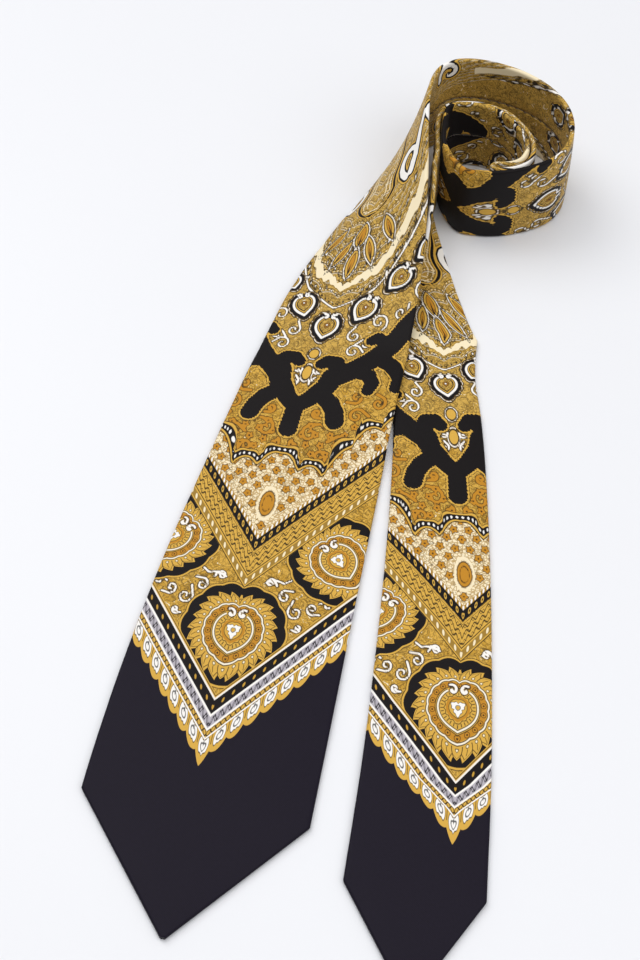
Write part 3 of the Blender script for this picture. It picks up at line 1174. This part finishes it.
add_light("window_light", (-0.9, 0.9, 1.5), (0, 0, 0), 1.4, 15.0)
add_light("fill_light", (1.1, -0.5, 1.3), (0.02, 0, 0), 1.6, 10.5)
add_light("top_light", (0.0, 0.1, 1.9), (0, 0, 0), 1.8, 13.0)
world = bpy.data.worlds.new("Studio")
world.use_nodes = True
world.node_tree.nodes["Background"].inputs[0].default_value = (0.95, 0.96, 1.0, 1)
world.node_tree.nodes["Background"].inputs[1].default_value = 0.42
bpy.context.scene.world = world
bpy.context.scene.view_settings.view_transform = "Standard"

blade = Side(blade_points, tail_points[-2], BLADE_W, BLADE_POINT, True)
tail = Side(tail_points, blade_points[-2], TAIL_W, TAIL_POINT, False)
blade_join, tail_join = blade.marks[BLADE_JOIN], tail.marks[TAIL_JOIN]
blade_front, tail_front = blade.marks[FRONT_ROW], tail.marks[FRONT_ROW]
silk = printed_silk()
wool = lining_wool()
satin = tipping_silk()
thread = sewing_thread()

# blade and tail silk
s = spaced((-BLADE_POINT, 330, 0.85), (330, blade_join - 0.05, 1.7))
piece, area = silk_piece("blade_cloth", blade, s, blade_give(s),
                         vent(s, blade.local_width(s), BLADE_W, BLADE_VENT), 92, 15, True, True)
finish_piece(piece, silk)
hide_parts("blade_silk", "blade_end_silk")
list(fold_ends("blade_lift", 0.014))
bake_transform(piece)

s = spaced((-TAIL_POINT, 300, 0.85), (300, tail_join - 0.05, 1.2))
piece, area = silk_piece("tail_cloth", tail, s, tail_give(s),
                         vent(s, tail.local_width(s), TAIL_W, TAIL_VENT), 66, 9, False, True)
finish_piece(piece, silk)
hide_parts("tail_silk", "tail_end_silk")
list(fold_ends("tail_lift", 0.012))
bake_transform(piece)

neck = Neck(blade, tail, blade_join + 0.35, tail_join + 0.35)
s = spaced((0, neck.length, 1.1))
piece, area = silk_piece("neck_cloth", neck, s, np.zeros(len(s)),
                         np.full(len(s), SEAM_GAP / 2), 44, 9, True, False)
finish_piece(piece, silk)
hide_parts("neck_silk")
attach(piece, "roll")

# interlinings
for name, side, start, stop, give, nodes, body, joint, reach in (
        ("blade_padding", blade, PADDING_TIP - BLADE_POINT, blade.end - PADDING_END, blade_give,
         ("blade_interlining", "blade_end_interlining"), "blade_end", "blade_lift", 0.014),
        ("tail_padding", tail, PADDING_TIP - TAIL_POINT, tail.end - PADDING_END, tail_give,
         ("tail_interlining", "tail_end_interlining"), "tail_end", "tail_lift", 0.012)):
    s = spaced((start, stop, 3.0))
    half = side.local_width(s) / 2 - SILK_T - TIE_T / 2
    piece, area = slab(name, side, s, give(s) + SILK_T + TIPPING_T + 0.1,
                       np.full(len(s), TIE_T - SILK_T - 0.05), -half, half, columns=20)
    finish_piece(piece, wool)
    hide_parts(*nodes)
    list(fold_ends(joint, reach))
    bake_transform(piece)

# tippings
for name, side, start, stop, give, node, body in (
        ("blade_tipping_silk", blade, TIPPING_TIP - BLADE_POINT, BLADE_VENT + 10, blade_give,
         "blade_tipping", "blade_end"),
        ("tail_tipping_silk", tail, TIPPING_TIP - TAIL_POINT, TAIL_VENT + 8, tail_give,
         "tail_tipping", "tail_end")):
    s = spaced((start, stop, 1.5))
    half = side.local_width(s) / 2 - TIPPING_EDGE
    low = give(s) + SILK_T + 0.15
    piece, area = slab(name, side, s, low, low + TIPPING_T, -half, half, columns=30)
    finish_piece(piece, satin)
    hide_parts(node)
    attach(piece, body)

# keeper and labels
for name, wide, long, middle, offset, low, material, slot, node in (
        ("keeper_band", KEEPER_L, KEEPER_W, KEEPER_S, 0.0, 0.05, silk, "printed_silk", "keeper_loop"),
        ("maker_tag", LABEL_L, LABEL_W, LABEL_S, 0.0, GIVE - TRIM_T - 0.05,
         label_satin(), "label", "maker_label"),
        ("care_tag", CARE_L, CARE_W, LABEL_S, LABEL_L / 2 + 2 + CARE_L / 2, GIVE - TRIM_T - 0.05,
         care_satin(), "care_label", "care_label")):
    s = spaced((middle - long / 2, middle + long / 2, long / 18))
    left, right = np.full(len(s), offset - wide / 2), np.full(len(s), offset + wide / 2)
    puff = 0.16 * np.sin(np.pi * (s - s[0]) / (s[-1] - s[0])) ** 0.5 if name == "keeper_band" else 0
    under = low + np.zeros(len(s)) - puff * 0.2
    top = low + TRIM_T + np.zeros(len(s)) - puff * 0.2
    piece, area = slab(name, blade, s, under, top, left, right, columns=40)
    if name == "keeper_band":
        for key in FIELDS:
            piece.data.attributes.new(key, "FLOAT", "POINT").data.foreach_set(
                "value", np.full(len(piece.data.vertices), FAR, np.float32))
    finish_piece(piece, material)
    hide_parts(node)
    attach(piece, "blade_end")

# stitches
for name, runs, body, node in (
        ("blade_tack", bar_tack(blade, BLADE_VENT, GIVE), "blade_end", "blade_bar_tack"),
        ("tail_tack", bar_tack(tail, TAIL_VENT, GIVE), "tail_end", "tail_bar_tack"),
        ("blade_end_stitches", seam_stitches(blade, BLADE_VENT + 3, blade_front, blade_give), "blade_end",
         "blade_end_slip_stitch"),
        ("blade_stitches", seam_stitches(blade, blade_front + 1, blade.end - 8, blade_give), "roll",
         "blade_slip_stitch"),
        ("tail_end_stitches", seam_stitches(tail, TAIL_VENT + 3, tail_front, tail_give), "tail_end",
         "tail_end_slip_stitch"),
        ("tail_stitches", seam_stitches(tail, tail_front + 1, tail.end - 8, tail_give), "roll",
         "tail_slip_stitch")):
    piece = thread_piece(name, runs)
    finish_piece(piece, thread)
    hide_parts(node)
    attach(piece, body)

edge_runs = {"keeper_corner_stitches": [], "label_corner_stitches": []}
for edge in (-1, 1):
    for k in range(7):
        f = STITCH
        edge_runs["keeper_corner_stitches"].append(back_points(
            blade, KEEPER_S - 3.6 + 1.2 * k + 0.3 * f, edge * (KEEPER_L / 2 - 1.2) + 0.7 * f,
            0.02 + 0.12 * f * f))
    for k in range(14):
        f = STITCH
        edge_runs["label_corner_stitches"].append(back_points(
            blade, LABEL_S - 11.2 + 1.7 * k + 0.5 * f, edge * (LABEL_L / 2 - 0.4) + 0.5 * f,
            0.42 + 0.14 * f * f))
for (name, runs), node in zip(edge_runs.items(), ("keeper_stitches", "label_stitches")):
    piece = thread_piece(name, runs, 0.14)
    finish_piece(piece, thread)
    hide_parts(node)
    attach(piece, "blade_end")

for name, side, join, node in (("blade_seam_stitches", blade, blade_join, "blade_neck_seam"),
                               ("tail_seam_stitches", tail, tail_join, "tail_neck_seam")):
    runs = []
    half = side.local_width(join) / 2 - 2
    for x in np.arange(-half, half, 1.6):
        f = STITCH
        runs.append(back_points(side, join + 0.15 + 0 * f, x + 0.65 * f, TIE_T + CROWN * 0.8 - 0.08 * f * f))
    piece = thread_piece(name, runs, 0.12)
    finish_piece(piece, thread)
    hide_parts(node)
    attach(piece, "roll")
